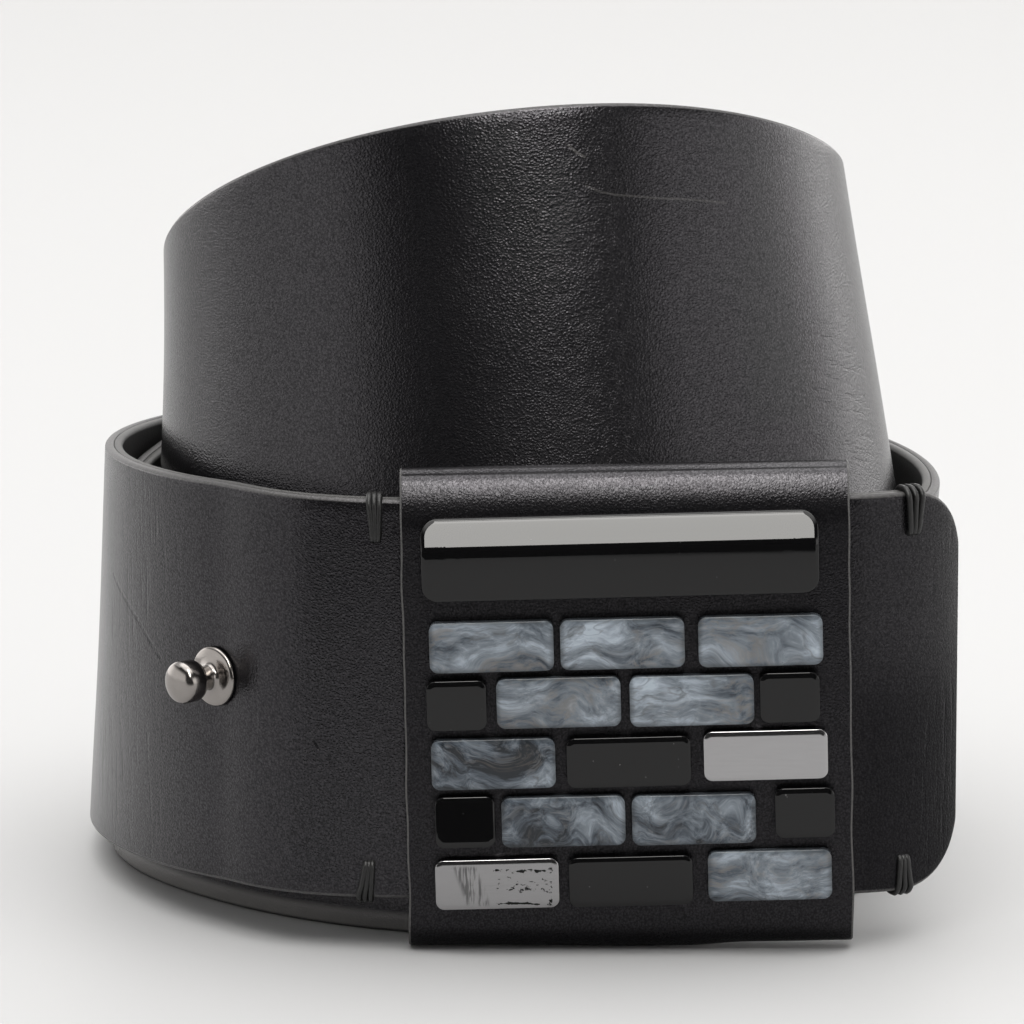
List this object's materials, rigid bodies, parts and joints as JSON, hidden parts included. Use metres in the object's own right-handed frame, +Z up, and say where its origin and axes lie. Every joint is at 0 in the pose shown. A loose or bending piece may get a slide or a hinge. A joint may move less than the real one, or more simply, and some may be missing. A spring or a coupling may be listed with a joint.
{
  "type": "belt",
  "caption": "Wide black leather belt coiled on its edge, with a tiled sleeve that rides on the strap and a collar stud that fastens it.",
  "frame": {"origin": "middle of the belt's box, on the floor that the coil stands on", "axes": "-Y is the tiled face, which looks forward; +X is towards the strap's free end; +Z is up, across the strap's width"},
  "size_m": [0.1536, 0.1518, 0.1425],
  "materials": {
    "leather": "polished black leather with a fine grain",
    "leather_backing": "matt black leather",
    "pearl_resin": "polished, swirled like mother of pearl",
    "dark_pearl_resin": "polished, dark swirled pearl",
    "black_gloss": "mirror polished",
    "polished_steel": "polished, with fine scratches",
    "gunmetal": "polished gunmetal"
  },
  "bodies": {
    "root": {"strap_face": "leather", "strap_backing": "leather_backing", "sleeve": "leather", "tile_bar": "black_gloss", "tile_r1_1_pearl": "pearl_resin", "tile_r1_2_pearl": "pearl_resin", "tile_r1_3_pearl": "pearl_resin", "tile_r2_1_black": "black_gloss", "tile_r2_2_pearl": "pearl_resin", "tile_r2_3_pearl": "pearl_resin", "tile_r2_4_black": "black_gloss", "tile_r3_1_dark_pearl": "dark_pearl_resin", "tile_r3_2_black": "black_gloss", "tile_r3_3_steel": "polished_steel", "tile_r4_1_black": "black_gloss", "tile_r4_2_dark_pearl": "dark_pearl_resin", "tile_r4_3_dark_pearl": "dark_pearl_resin", "tile_r4_4_black": "black_gloss", "tile_r5_1_steel": "polished_steel", "tile_r5_2_black": "black_gloss", "tile_r5_3_pearl": "pearl_resin", "collar_stud": "gunmetal", "stud_screw": "gunmetal"}
  },
  "joints": []
}
